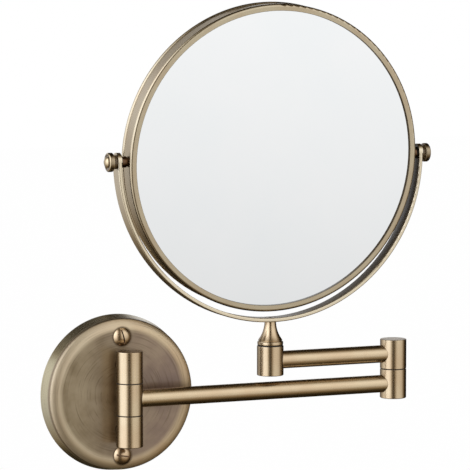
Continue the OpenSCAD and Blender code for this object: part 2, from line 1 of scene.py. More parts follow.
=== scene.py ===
"""Looks of a wall-mounted extendable shaving mirror, built around its CAD frame.

Turned pieces come from their outlines by one Geometry Nodes tree, which also copes the ends of the arm
tubes over their barrels. All metal is antique brass, brushed and lacquered.
The frame is +Z up, +Y into the wall and +X along the folded arms. Lengths here are in metres.
"""

import json
import math

import bmesh
import bpy
from bpy.props import FloatProperty, FloatVectorProperty, IntProperty, PointerProperty
from bpy.types import Operator, Panel, PropertyGroup
from mathutils import Matrix, Vector


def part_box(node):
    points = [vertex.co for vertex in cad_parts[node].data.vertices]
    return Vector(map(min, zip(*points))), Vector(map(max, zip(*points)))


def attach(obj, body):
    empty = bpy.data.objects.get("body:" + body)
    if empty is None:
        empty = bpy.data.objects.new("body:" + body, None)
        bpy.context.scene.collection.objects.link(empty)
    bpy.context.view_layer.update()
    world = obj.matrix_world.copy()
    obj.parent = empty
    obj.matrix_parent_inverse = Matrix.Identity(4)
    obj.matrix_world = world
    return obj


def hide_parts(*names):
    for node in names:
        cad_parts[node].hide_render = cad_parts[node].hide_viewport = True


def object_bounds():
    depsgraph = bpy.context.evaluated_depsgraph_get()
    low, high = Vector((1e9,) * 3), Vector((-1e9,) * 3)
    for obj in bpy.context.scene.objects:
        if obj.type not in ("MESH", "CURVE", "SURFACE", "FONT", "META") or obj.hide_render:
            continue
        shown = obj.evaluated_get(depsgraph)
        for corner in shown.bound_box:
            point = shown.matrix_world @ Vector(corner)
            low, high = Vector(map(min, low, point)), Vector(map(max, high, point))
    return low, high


bl_info = {
    "name": "Extendable Shaving Mirror",
    "version": (1, 0, 0),
    "blender": (4, 5, 0),
    "location": "View3D > Sidebar > Shaving Mirror",
    "description": "Builds the looks of a wall-mounted extendable shaving mirror around its CAD frame",
    "category": "Object",
}

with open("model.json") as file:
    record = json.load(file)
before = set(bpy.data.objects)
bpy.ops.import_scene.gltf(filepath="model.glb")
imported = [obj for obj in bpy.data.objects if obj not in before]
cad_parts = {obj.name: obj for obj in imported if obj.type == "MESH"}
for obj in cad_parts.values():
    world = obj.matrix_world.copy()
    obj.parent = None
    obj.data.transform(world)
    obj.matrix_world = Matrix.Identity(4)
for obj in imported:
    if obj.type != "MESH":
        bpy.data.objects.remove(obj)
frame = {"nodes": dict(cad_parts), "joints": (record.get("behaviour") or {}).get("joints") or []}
cad_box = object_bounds()

MM = 0.001
FULL_TURN = 2 * math.pi
MERGE = 1e-6
HOLD = 0.12 * MM
SHARP = math.radians(32)
ROUNDING_STEP = math.radians(16)
SMALL_STEPS = 48
SCREW_STEPS = 64
WHITE = (1, 1, 1, 1)


def joint_place(name):
    """Where a joint's axis passes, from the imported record."""
    return Vector(next(joint["pos_m"] for joint in frame["joints"] if joint["name"] == name))


def facing_of(node):
    """The direction that a flat node's broad face points in, out of the wall."""
    widest = max(frame["nodes"][node].data.polygons, key=lambda face: face.area).normal
    return widest.copy() if widest.y < 0 else -widest


HINGE = joint_place("wall_hinge")
ELBOW = joint_place("elbow")
STEM = joint_place("mirror_swivel")
PIVOT = joint_place("mirror_tilt")
OUT_OF_GLASS = facing_of("plain_glass")
LEAN = math.atan2(-OUT_OF_GLASS.z, -OUT_OF_GLASS.y)

# Places for pieces that are turned about their own Z axis
ON_WALL = Matrix.Rotation(math.pi / 2, 4, "X")
TOWARDS_WALL = Matrix.Rotation(-math.pi / 2, 4, "X")
AT_MIRROR = Matrix.Translation(PIVOT) @ Matrix.Rotation(LEAN, 4, "X")
TO_RIGHT = Matrix.Rotation(math.pi / 2, 4, "Y")
TO_LEFT = Matrix.Rotation(-math.pi / 2, 4, "Y")


def size_of(node):
    """A node's length along X, Y and Z."""
    low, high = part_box(node)
    return high - low


# ---------------------------------------------------------------- sizes and finishes a user may change


class MirrorSizes(PropertyGroup):
    """Sizes of the fine shapes that the frame leaves plain."""

    steps: IntProperty(
        name="Steps around", description="Faces around a turned piece", default=96, min=24, max=256
    )
    edge: FloatProperty(
        name="Edge rounding", description="Rounding of machined edges", default=0.25 * MM, subtype="DISTANCE"
    )
    rim_draft: FloatProperty(
        name="Rim draft", description="How much the plate's rim narrows to the front",
        default=2 * MM, subtype="DISTANCE",
    )
    shoulder_width: FloatProperty(
        name="Shoulder width", description="Width of the plate's rounded shoulder",
        default=7.3 * MM, subtype="DISTANCE",
    )
    shoulder_height: FloatProperty(
        name="Shoulder height", description="Height of the plate's rounded shoulder",
        default=2.6 * MM, subtype="DISTANCE",
    )
    tube_wall: FloatProperty(
        name="Tube wall", description="Wall of the arm tubes", default=1.5 * MM, subtype="DISTANCE"
    )


def brass_colour(name, description, default):
    """A colour that a user may change."""
    return FloatVectorProperty(
        name=name, description=description, default=default, subtype="COLOR", size=3, min=0, max=1
    )


class BrassFinish(PropertyGroup):
    """Colours and grain of the antique brass."""

    light: brass_colour(
        "Light brass", "Brass where the brushing has rubbed it bright", (0.65, 0.515, 0.325)
    )
    warm: brass_colour("Warm brass", "Warmer patches in the brass", (0.61, 0.455, 0.275))
    # Pale brass used as painted light on the plate's left side and as a painted highlight on the yoke's front
    # edge
    rubbed: brass_colour("Rubbed brass", "Brass polished pale by handling", (0.83, 0.74, 0.56))
    # Dark colour for brush marks, also used as painted shade in necks, grooves, lips, inner faces, round
    # screw heads and at silhouettes
    patina: brass_colour("Patina", "Dark patina left in corners and brush marks", (0.12, 0.075, 0.03))
    olive_face: brass_colour("Olive face", "Aged face of the plate at its left", (0.225, 0.165, 0.08))
    rosy_face: brass_colour("Rosy face", "Aged face of the plate at its right", (0.24, 0.165, 0.13))
    olive_rim: brass_colour("Olive rim", "Aged side of the plate's rim", (0.42, 0.39, 0.25))
    roughness: FloatProperty(
        name="Roughness", description="Roughness of the lacquered brass", default=0.27, min=0, max=1,
        subtype="FACTOR",
    )
    grain_depth: FloatProperty(
        name="Grain depth", description="Depth of the brush marks", default=0.0025 * MM, subtype="DISTANCE"
    )


class StudioLook(PropertyGroup):
    """Light and camera."""

    lens: FloatProperty(
        name="Lens", description="Focal length on a 36 mm frame", default=255.6, subtype="DISTANCE_CAMERA"
    )
    distance: FloatProperty(
        name="Distance", description="Camera's distance from what it looks at", default=2.2,
        subtype="DISTANCE",
    )
    around: FloatProperty(
        name="Around", description="How far the camera stands to the left", default=math.radians(22.72),
        subtype="ANGLE",
    )
    above: FloatProperty(
        name="Above", description="How far the camera looks down", default=math.radians(5.71),
        subtype="ANGLE",
    )
    panel_light: FloatProperty(
        name="Panel light", description="Brightness of the soft panels", default=1.2, min=0
    )
    dark_light: FloatProperty(
        name="Dark light", description="Brightness of the unlit room", default=0.03, min=0
    )


# ---------------------------------------------------------------- outlines and turning


def rounded(corners, closed=False):
    """Points along an outline. Each corner is (radius, level, rounding), and a rounding of 0 stays sharp."""
    points = []
    last = len(corners) - 1
    for index, (radius, level, rounding) in enumerate(corners):
        here = Vector((radius, level))
        if rounding == 0 or (not closed and index in (0, last)):
            points.append(here)
            continue
        back = Vector(corners[index - 1][:2]) - here
        ahead = Vector(corners[(index + 1) % len(corners)][:2]) - here
        half = back.angle(ahead) / 2
        reach = rounding / math.tan(half)
        middle = here + (back.normalized() + ahead.normalized()).normalized() * rounding / math.sin(half)
        first = here + back.normalized() * reach - middle
        final = here + ahead.normalized() * reach - middle
        if back.length > reach + 2 * HOLD:
            points.append(here + back.normalized() * (reach + HOLD))
        pieces = max(2, round((math.pi - 2 * half) / ROUNDING_STEP))
        turn = first.angle(final)
        for piece in range(pieces + 1):
            share = piece / pieces
            near, far = math.sin((1 - share) * turn), math.sin(share * turn)
            points.append(middle + (first * near + final * far) / math.sin(turn))
        if ahead.length > reach + 2 * HOLD:
            points.append(here + ahead.normalized() * (reach + HOLD))
    return points + [points[0]] if closed else points


def arc(centre, radius, start, end, pieces):
    """Sharp corners along an arc, from one angle to another."""
    angles = [start + (end - start) * piece / pieces for piece in range(pieces + 1)]
    return [
        (centre[0] + radius * math.cos(angle), centre[1] + radius * math.sin(angle), 0) for angle in angles
    ]


def dome(width, height, top, pieces, start=0.0, share=1.0):
    """Sharp corners down a share of a shallow dome, from its top at a starting radius outwards."""
    curve = (width ** 2 + height ** 2) / (2 * height)
    steepest = math.asin(width / curve) * share
    return arc((start, top - curve), curve, math.pi / 2, math.pi / 2 - steepest, pieces)


def new_tree(name, inputs):
    """An empty Geometry Nodes tree with inputs of the named kinds, and a piece as its output."""
    tree = bpy.data.node_groups.new(name, "GeometryNodeTree")
    for label, kind in inputs.items():
        tree.interface.new_socket(label, in_out="INPUT", socket_type="NodeSocket" + kind)
    tree.interface.new_socket("Piece", in_out="OUTPUT", socket_type="NodeSocketGeometry")
    return tree


def turning_tree():
    """A Geometry Nodes tree that turns an object's own outline about Z, and copes its ends if asked."""
    if "turning" in bpy.data.node_groups:
        return bpy.data.node_groups["turning"]
    tree = new_tree("turning", {
        "Outline": "Geometry", "Steps": "Int", "Length": "Float", "Cope Radius": "Float",
        "Material": "Material",
    })
    make = NodeMaker(tree)
    given = make.add("NodeGroupInput").outputs
    count = make.value("GeometryNodeAttributeDomainSize", {}, {"Geometry": given["Outline"]})
    grid = make.add(
        "GeometryNodeMeshGrid", {}, {"Vertices X": make.read(given["Steps"]) + 1, "Vertices Y": count}
    )
    index = make.value("GeometryNodeInputIndex")
    row = index.modulo(count)
    turn = (index / count).floor() * FULL_TURN / given["Steps"]
    point = make.add(
        "GeometryNodeSampleIndex",
        {"data_type": "FLOAT_VECTOR"},
        {
            "Geometry": given["Outline"],
            "Value": make.add("GeometryNodeInputPosition").outputs[0],
            "Index": row,
        },
    )
    radius, _, level = make.split(point.outputs[0])
    side = radius * turn.sine()
    cope = (make.read(given["Cope Radius"]) ** 2 - side ** 2).maximum(0) ** 0.5
    cope = cope * make.read(given["Cope Radius"]).above(0)
    stretched = cope + level * (1 - 2 * cope / given["Length"])
    placed = make.join(radius * turn.cosine(), side, stretched)
    shaped = make.add("GeometryNodeSetPosition", {}, {"Geometry": grid.outputs["Mesh"], "Position": placed})
    merged = make.add(
        "GeometryNodeMergeByDistance", {}, {"Geometry": shaped.outputs[0], "Distance": MERGE}
    )
    smooth = make.add("GeometryNodeSetShadeSmooth", {}, {"Geometry": merged.outputs[0]})
    real = make.add("GeometryNodeRealizeInstances", {}, {"Geometry": smooth.outputs[0]})
    painted = make.add(
        "GeometryNodeSetMaterial", {}, {"Geometry": real.outputs[0], "Material": given["Material"]}
    )
    make.add("NodeGroupOutput", {}, {"Piece": painted.outputs[0]})
    return tree


def row_tree():
    """A Geometry Nodes tree that sets out copies of a piece in a straight row."""
    if "row" in bpy.data.node_groups:
        return bpy.data.node_groups["row"]
    tree = new_tree("row", {
        "One": "Geometry", "Count": "Int", "First": "Vector", "Step": "Vector", "Material": "Material",
    })
    make = NodeMaker(tree)
    given = make.add("NodeGroupInput").outputs
    line = make.add(
        "GeometryNodeMeshLine",
        {"mode": "OFFSET"},
        {"Count": given["Count"], "Start Location": given["First"], "Offset": given["Step"]},
    )
    copies = make.add(
        "GeometryNodeInstanceOnPoints", {}, {"Points": line.outputs[0], "Instance": given["One"]}
    )
    real = make.add("GeometryNodeRealizeInstances", {}, {"Geometry": copies.outputs[0]})
    painted = make.add(
        "GeometryNodeSetMaterial", {}, {"Geometry": real.outputs[0], "Material": given["Material"]}
    )
    make.add("NodeGroupOutput", {}, {"Piece": painted.outputs[0]})
    return tree


def run_tree(piece, tree, inputs):
    """Runs a Geometry Nodes tree on a piece with named inputs and keeps the result as its plain mesh."""
    step = piece.modifiers.new(tree.name, "NODES")
    step.node_group = tree
    for item in tree.interface.items_tree:
        if item.in_out == "INPUT" and item.name in inputs:
            step[item.identifier] = inputs[item.name]
    keep_result(piece)


def keep_result(piece):
    """Makes a piece's evaluated shape its own mesh and removes its modifiers."""
    ready = piece.evaluated_get(bpy.context.evaluated_depsgraph_get())
    mesh = bpy.data.meshes.new_from_object(ready)
    piece.modifiers.clear()
    old = piece.data
    piece.data = mesh
    mesh.name = piece.name
    bpy.data.meshes.remove(old)


def face_outwards(mesh):
    """Merges doubles, then turns every face outwards and marks the sharp edges."""
    shape = bmesh.new()
    shape.from_mesh(mesh)
    bmesh.ops.remove_doubles(shape, verts=shape.verts, dist=MERGE)
    bmesh.ops.recalc_face_normals(shape, faces=shape.faces)
    shape.to_mesh(mesh)
    shape.free()
    mesh.shade_smooth()
    mesh.set_sharp_from_angle(angle=SHARP)


def new_piece(name, points=(), edges=(), faces=()):
    """An object at the origin with a mesh of its own."""
    mesh = bpy.data.meshes.new(name)
    mesh.from_pydata(points, edges, faces)
    piece = bpy.data.objects.new(name, mesh)
    bpy.context.scene.collection.objects.link(piece)
    return piece


def turned(name, outline, place, material, steps=None, length=1.0, cope=0.0):
    """A piece turned about Z from an outline of points, then moved to its place."""
    steps = steps or bpy.context.scene.mirror_sizes.steps
    points = [(point[0], 0, point[1]) for point in outline]
    piece = new_piece(name, points, [(at, at + 1) for at in range(len(points) - 1)])
    run_tree(
        piece, turning_tree(),
        {"Steps": steps, "Length": length, "Cope Radius": cope, "Material": material},
    )
    piece.data.transform(place)
    face_outwards(piece.data)
    return piece


def carve(piece, others, operation):
    """Adds other pieces to this one, or cuts them away, and removes them."""
    for other in others:
        step = piece.modifiers.new(operation, "BOOLEAN")
        step.operation = operation
        step.solver = "EXACT"
        step.material_mode = "TRANSFER"
        step.object = other
        keep_result(piece)
        bpy.data.objects.remove(other)
    face_outwards(piece.data)
    return piece


def slot_cutter(place, width, length, low, high):
    """A long block that cuts a driver slot, leaving dark brass in it as painted shade."""
    piece = new_piece("cutter")
    shape = bmesh.new()
    bmesh.ops.create_cube(shape, size=1)
    bmesh.ops.scale(shape, verts=shape.verts, vec=(width, length, high - low))
    bmesh.ops.translate(shape, verts=shape.verts, vec=(0, 0, (high + low) / 2))
    shape.to_mesh(piece.data)
    shape.free()
    # The slot's faces take dark brass: painted shade in the slot
    piece.data.materials.append(material("dark_brass"))
    piece.data.transform(place)
    return piece


def barrel_outline(height, foot, top, hollow=None):
    """A barrel standing on level 0: an edge rounding at its foot and top, and a blind pocket if hollow."""
    radius = size_of("arm_knuckle").x / 2
    corners = [(0, height, 0), (radius, height, top), (radius, 0, foot)]
    if hollow:
        pocket_radius, pocket_depth = hollow
        corners += [(pocket_radius, 0, HOLD), (pocket_radius, pocket_depth, 0), (0, pocket_depth, 0)]
    else:
        corners += [(0, 0, 0)]
    return rounded(corners)


def finish(piece, body, nodes):
    """Ties a piece to its body and hides the CAD nodes that it stands for."""
    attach(piece, body)
    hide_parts(*nodes)


# ---------------------------------------------------------------- node trees written as expressions


class Reading:
    """A number in a node tree. Arithmetic on it adds the Math nodes that work it out."""

    def __init__(self, make, socket):
        self.make = make
        self.socket = socket

    def work(self, operation, *numbers):
        node = self.make.add("ShaderNodeMath", {"operation": operation}, dict(enumerate(numbers)))
        return Reading(self.make, node.outputs[0])

    def __add__(self, other):
        return self.work("ADD", self, other)

    __radd__ = __add__

    def __sub__(self, other):
        return self.work("SUBTRACT", self, other)

    def __rsub__(self, other):
        return self.work("SUBTRACT", other, self)

    def __mul__(self, other):
        return self.work("MULTIPLY", self, other)

    __rmul__ = __mul__

    def __truediv__(self, other):
        return self.work("DIVIDE", self, other)

    def __pow__(self, other):
        return self.work("POWER", self, other)

    def modulo(self, other):
        return self.work("MODULO", self, other)

    def floor(self):
        return self.work("FLOOR", self)

    def sine(self):
        return self.work("SINE", self)

    def cosine(self):
        return self.work("COSINE", self)

    def arcsine(self):
        return self.work("ARCSINE", self)

    def size(self):
        return self.work("ABSOLUTE", self)

    def maximum(self, other):
        return self.work("MAXIMUM", self, other)

    def above(self, other):
        return self.work("GREATER_THAN", self, other)

    def angle_from(self, other):
        return self.work("ARCTAN2", self, other)

    def rise(self, low, high):
        """0 below low, 1 above high and a smooth climb between."""
        node = self.make.add(
            "ShaderNodeMapRange",
            {"interpolation_type": "SMOOTHSTEP"},
            {"Value": self, "From Min": low, "From Max": high},
        )
        return Reading(self.make, node.outputs["Result"])


class NodeMaker:
    """Adds nodes to a tree: a node's type, its settings, then the values or links of its sockets."""

    def __init__(self, tree):
        self.tree = tree

    def add(self, kind, settings=None, inputs=None):
        node = self.tree.nodes.new(kind)
        for name, value in (settings or {}).items():
            setattr(node, name, value)
        for key, value in (inputs or {}).items():
            if isinstance(value, Reading):
                value = value.socket
            if isinstance(value, bpy.types.NodeSocket):
                self.tree.links.new(value, node.inputs[key])
            else:
                node.inputs[key].default_value = value
        return node

    def read(self, socket):
        return Reading(self, socket)

    def value(self, kind, settings=None, inputs=None):
        return Reading(self, self.add(kind, settings, inputs).outputs[0])

    def split(self, vector):
        parts = self.add("ShaderNodeSeparateXYZ", {}, {0: vector}).outputs
        return [Reading(self, part) for part in parts]

    def join(self, x, y, z):
        return self.add("ShaderNodeCombineXYZ", {}, {0: x, 1: y, 2: z}).outputs[0]

    def mix(self, share, first, second):
        """Colour between two colours."""
        return self.add("ShaderNodeMix", {"data_type": "RGBA"}, {0: share, 6: first, 7: second}).outputs[2]

    def noise(self, vector, detail, dimensions="3D", extra=None):
        inputs = {"Vector": vector, "Scale": 1.0, "Detail": detail}
        if extra is not None:
            inputs["W"] = extra
        return self.value("ShaderNodeTexNoise", {"noise_dimensions": dimensions}, inputs)

    def places(self):
        """Where a point lies on the object, along X, Y and Z."""
        return self.split(self.add("ShaderNodeTexCoord").outputs["Object"])

    def mottle(self, parts, scale, detail):
        """Noise that is even in all directions."""
        return self.noise(self.join(*[part * scale for part in parts]), detail)

    def surface(self, colour, metallic, roughness, height, depth, lacquer=None):
        """The material's output: a surface with fine relief, lacquered if asked."""
        bump = self.add("ShaderNodeBump", {}, {"Strength": 1.0, "Distance": depth, "Height": height})
        look = {"Base Color": colour, "Metallic": metallic, "Roughness": roughness, "Normal": bump.outputs[0]}
        shader = self.add("ShaderNodeBsdfPrincipled", {}, {**look, **(lacquer or {})})
        self.add("ShaderNodeOutputMaterial", {}, {"Surface": shader.outputs[0]})


# ---------------------------------------------------------------- materials


def new_material(name):
    """An empty material and the maker for its tree."""
    material = bpy.data.materials.new(name)
    material.use_nodes = True
    material.node_tree.nodes.clear()
    return material, NodeMaker(material.node_tree)


PLAIN = (1.0, 1.0, 1.0)


def opaque(colour, share=1.0):
    """A colour as a socket takes it, darkened to a share of itself."""
    return (*[channel * share for channel in colour], 1.0)


def ring_grain(axis, centre, fine):
    """Brush marks that run in circles about an axis through a centre."""
    around = 1.5

    def grain(make, parts, scale=1.0):
        away = [part - middle for part, middle in zip(parts, centre)]
        along = away.pop("XYZ".index(axis))
        first, second = away
        radius = (first ** 2 + second ** 2) ** 0.5
        place = make.join(radius * fine * scale, along * fine * scale, first / radius * around)
        return make.noise(place, 3.0, "4D", second / radius * around)

    return grain


def line_grain(axis, fine, along):
    """Brush marks that run straight along an axis."""

    def grain(make, parts, scale=1.0):
        scales = [along if letter == axis else fine * scale for letter in "XYZ"]
        return make.noise(make.join(*[part * size for part, size in zip(parts, scales)]), 3.0)

    return grain


def antique_brass(
    name, grain, tone=PLAIN, patina_share=0.25, shade=None, roughness=0.0, coat=1.0, painted_limb_shade=0.0
):
    """Brushed antique brass under clear lacquer.

    A tone tints the brass, a painted shade darkens it where it curves out of sight, and a shade function
    gives the finished colour with its painted light and shade, how much smoother the brass is there and
    how bare of lacquer.
    """
    cloud_scale, speck_scale, fine_scale = 45, 700, 3.1
    bare_dullness = 0.85
    finish_of = bpy.context.scene.brass_finish
    material, make = new_material(name)
    parts = make.places()
    coarse = grain(make, parts)
    fine = grain(make, parts, fine_scale)
    clouds = make.mottle(parts, cloud_scale, 3.0)
    specks = make.mottle(parts, speck_scale, 2.0)
    light, warm = [
        opaque([channel * share for channel, share in zip(brass, tone)])
        for brass in (finish_of.light, finish_of.warm)
    ]
    colour = make.mix(clouds.rise(0.35, 0.65), light, warm)
    polish, bare = 0.0, 0.0
    if shade:
        colour, polish, bare = shade(make, parts, clouds, colour)
    marks = (coarse.rise(0.52, 0.80) * 0.7 + fine.rise(0.55, 0.85) * 0.5) * patina_share * 2
    # Painted shade at the silhouette: the colour darkens and the lacquer thins where the surface turns away
    # from view
    edge = make.read(make.add("ShaderNodeLayerWeight", {}, {"Blend": 0.5}).outputs["Facing"])
    edge = edge.rise(0.2, 0.62) * painted_limb_shade
    colour = make.mix(marks, colour, opaque(finish_of.patina))
    colour = make.mix(edge, colour, opaque(finish_of.patina))
    rough = finish_of.roughness + roughness + (coarse - 0.5) * 0.16 + (specks - 0.5) * 0.06 - polish
    height = coarse * 0.6 + fine * 0.4 + specks * 0.15
    lacquer = {"Coat Weight": (1 - edge) * coat * (1 - bare), "Coat Roughness": 0.2, "Coat IOR": 1.6}
    make.surface(colour, 1 - bare * bare_dullness, rough, height, finish_of.grain_depth, lacquer)
    return material


def plain_finish(name, light, dark, metallic, roughness, scale, depth):
    """A plain finish with mottled colour, uneven roughness and a fine surface."""
    fine_scale = scale * 7
    material, make = new_material(name)
    parts = make.places()
    coarse = make.mottle(parts, scale, 3.0)
    fine = make.mottle(parts, fine_scale, 2.0)
    colour = make.mix(coarse.rise(0.3, 0.7), opaque(light), opaque(dark))
    rough = roughness + (fine - 0.5) * 0.2
    make.surface(colour, metallic, rough, coarse * 0.5 + fine * 0.5, depth)
    return material


def mirror_silver():
    """Silvered glass: a clean reflection with the faintest haze and waviness."""
    haze_scale, wave_scale, wave_depth = 18, 9, 0.0002 * MM
    material, make = new_material("mirror_silver")
    parts = make.places()
    haze = make.mottle(parts, haze_scale, 3.0)
    wave = make.mottle(parts, wave_scale, 1.0)
    colour = make.mix(haze, (0.94, 0.955, 0.975, 1), (0.88, 0.92, 0.95, 1))
    make.surface(colour, 1.0, haze * 0.02 + 0.01, wave, wave_depth)
    return material


def plate_shade(make, parts, clouds, colour):
    """Plate: brown face, painted light at the left, olive rim, painted shade round the screw heads."""
    finish_of = bpy.context.scene.brass_finish
    radius = (parts[0] ** 2 + parts[2] ** 2) ** 0.5
    edge = size_of("wall_plate").x / 2 - bpy.context.scene.mirror_sizes.rim_draft
    line_width, rim_blend, ring_width = 0.9 * MM, 0.6 * MM, 1.3 * MM
    face_end, face_blend, side_reach = 5 * MM, 5 * MM, 40 * MM
    rim = radius.rise(edge, edge + rim_blend)
    # A dark line runs along the shoulder's outer edge
    line = radius.rise(edge - line_width, edge) * (1 - rim)
    face = 1 - radius.rise(edge - face_end - face_blend, edge - face_end)
    side = parts[0].rise(-side_reach, side_reach)
    brown = make.mix(side, opaque(finish_of.olive_face), opaque(finish_of.rosy_face))
    # Painted light: the left side is mixed towards pale brass
    colour = make.mix((1 - side) * 0.5, colour, opaque(finish_of.rubbed))
    colour = make.mix(face * (clouds.rise(0.3, 0.7) * 0.3 + 0.68), colour, brown)
    colour = make.mix(rim * 0.8, colour, opaque(finish_of.olive_rim))
    # Painted shade: a dark ring on the plate round each screw head
    low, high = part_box("wall_screws")
    head = size_of("wall_screws").x / 2
    below = (parts[2] - (low.z + high.z) / 2).size() - (high.z - low.z) / 2 + head
    near = (parts[0] ** 2 + below ** 2) ** 0.5
    corner = 1 - near.rise(head, head + ring_width)
    dark = line * 0.85 + corner * 0.8
    return make.mix(dark, colour, opaque(finish_of.patina)), rim * 0.22, 0.0


def knob_shade(make, parts, clouds, colour):
    """Painted shade in a thumb screw's neck, in the groove round its dome and on its disc's side."""
    patina = opaque(bpy.context.scene.brass_finish.patina)
    along = (parts[0] - PIVOT.x).size()
    out = ((parts[1] - PIVOT.y) ** 2 + (parts[2] - PIVOT.z) ** 2) ** 0.5
    start = size_of("yoke").x / 2
    neck_start, neck_end = start + 2.2 * MM, start + 3.2 * MM
    side_start, side_end = start + 2.6 * MM, start + 3.4 * MM
    face_start, face_end = start + 5.0 * MM, start + 5.6 * MM
    # Painted shade: the neck, the groove and the disc's side are darkened, and the neck is left bare of
    # lacquer
    neck = 1 - along.rise(neck_start, neck_end)
    face = along.rise(face_start, face_end)
    groove = face * out.rise(3.6 * MM, 4.0 * MM) * (1 - out.rise(5.3 * MM, 5.9 * MM))
    side = along.rise(side_start, side_end) * (1 - face)
    dark = neck * 0.95 + groove * 0.95 + side * 0.62
    return make.mix(dark, colour, patina), 0.0, neck


def yoke_shade(make, parts, clouds, colour):
    """Painted highlight on the yoke's front edge, and painted shade on its inner face, which is left bare."""
    finish_of = bpy.context.scene.brass_finish
    out = ((parts[0] - PIVOT.x) ** 2 + (parts[2] - PIVOT.z) ** 2) ** 0.5
    strip = 2.7 * MM
    inner = size_of("yoke").x / 2 - strip
    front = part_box("yoke")[0].y
    # Painted highlight along the front edge
    rubbed = 1 - parts[1].rise(front + 0.2 * MM, front + 0.9 * MM)
    # Painted shade on the inner face, which is also left bare of lacquer
    dark = (1 - out.rise(inner + 0.1 * MM, inner + 0.5 * MM)) * (1 - rubbed)
    colour = make.mix(rubbed * 0.6, colour, opaque(finish_of.rubbed))
    return make.mix(dark * 0.95, colour, opaque(finish_of.patina, 0.4)), 0.0, dark


def rim_shade(make, parts, clouds, colour):
    """Painted shade on the inner wall of a rim's lip, next to the glass."""
    patina = opaque(bpy.context.scene.brass_finish.patina, 0.4)
    away = [part - middle for part, middle in zip(parts, PIVOT)]
    height = away[2] * math.cos(LEAN) - away[1] * math.sin(LEAN)
    out = (away[0] ** 2 + height ** 2) ** 0.5
    lip_width = 4.5 * MM
    lip = size_of("front_rim").x / 2 - lip_width
    # Painted shade on the lip's inner wall, which is also left bare of lacquer
    dark = 1 - out.rise(lip + 0.05 * MM, lip + 0.3 * MM)
    return make.mix(dark * 0.9, colour, patina), 0.0, dark


MATERIALS = {}


def material(name):
    """One of this object's materials, made the first time it is asked for."""
    if name not in MATERIALS:
        MATERIALS[name] = RECIPES[name]()
    return MATERIALS[name]


RECIPES = {
    "plate_brass": lambda: antique_brass(
        "plate_brass", ring_grain("Y", (0, 0, 0), 1100), PLAIN, 0.45, plate_shade, 0.2, 0.6
    ),
    "upright_brass": lambda: antique_brass(
        "upright_brass", line_grain("Z", 1700, 40.0), PLAIN, 0.10, painted_limb_shade=0.85
    ),
    "arm_brass": lambda: antique_brass("arm_brass", line_grain("X", 3600, 60.0), PLAIN, 0.08, painted_limb_shade=0.5),
    "rim_brass": lambda: antique_brass(
        "rim_brass", ring_grain("Y", PIVOT, 3000), (0.80, 0.86, 0.92), 0.10, rim_shade
    ),
    "band_brass": lambda: antique_brass(
        "band_brass", ring_grain("Y", PIVOT, 3000), (0.60, 0.62, 0.62), 0.14, coat=0.5
    ),
    "yoke_brass": lambda: antique_brass(
        "yoke_brass", ring_grain("Y", PIVOT, 3000), (0.86, 0.92, 0.96), 0.10, yoke_shade
    ),
    "knob_brass": lambda: antique_brass(
        "knob_brass", ring_grain("X", PIVOT, 1500), (0.95, 1.0, 0.98), 0.15, knob_shade, -0.08, painted_limb_shade=0.4
    ),
    # Dark brass for the collars, also used as painted shade on the hinge posts and in the screw slots
    "dark_brass": lambda: antique_brass(
        "dark_brass", ring_grain("X", PIVOT, 1500), (0.2, 0.13, 0.085), 0.5, None, -0.03, 0.45, 0.9
    ),
    "screw_brass": lambda: antique_brass(
        "screw_brass", line_grain("Z", 1500, 60.0), (1.0, 0.95, 0.92), 0.15, painted_limb_shade=0.8
    ),
    "steel": lambda: plain_finish(
        "steel", (0.60, 0.60, 0.61), (0.42, 0.42, 0.44), 1.0, 0.35, 260, 0.004 * MM
    ),
    "nylon": lambda: plain_finish(
        "nylon", (0.030, 0.027, 0.025), (0.018, 0.016, 0.015), 0.0, 0.5, 400, 0.01 * MM
    ),
    "foam": lambda: plain_finish("foam", (0.10, 0.10, 0.105), (0.05, 0.05, 0.052), 0.0, 0.9, 900, 0.08 * MM),
    "glass": mirror_silver,
}

# The finish of each CAD node that is shown as it is
SHOWN_NODES = {
    "knuckle_screws": "steel",
    "hinge_pin": "steel",
    "hinge_disc_spring": "steel",
    "hinge_bushes": "nylon",
    "elbow_bush": "nylon",
    "elbow_disc_spring": "steel",
    "elbow_pin": "steel",
    "stem_bush": "nylon",
    "stem_screw": "steel",
    "stem_washer": "steel",
    "yoke": "yoke_brass",
    "yoke_screw": "upright_brass",
    "mirror_band": "band_brass",
    "front_rim": "rim_brass",
    "rear_rim": "rim_brass",
    "plain_glass": "glass",
    "foam_ring": "foam",
    "pivot_blocks": "steel",
    "pivot_washers": "nylon",
}


# ---------------------------------------------------------------- pieces


CAP_FIT = 0.02 * MM
POCKET_RADIUS = 5.05 * MM
POCKET_DEPTH = 7.5 * MM


def upright(joint, level):
    """The place of a piece that stands on a level, on a joint's upright axis."""
    return Matrix.Translation((joint.x, joint.y, level))


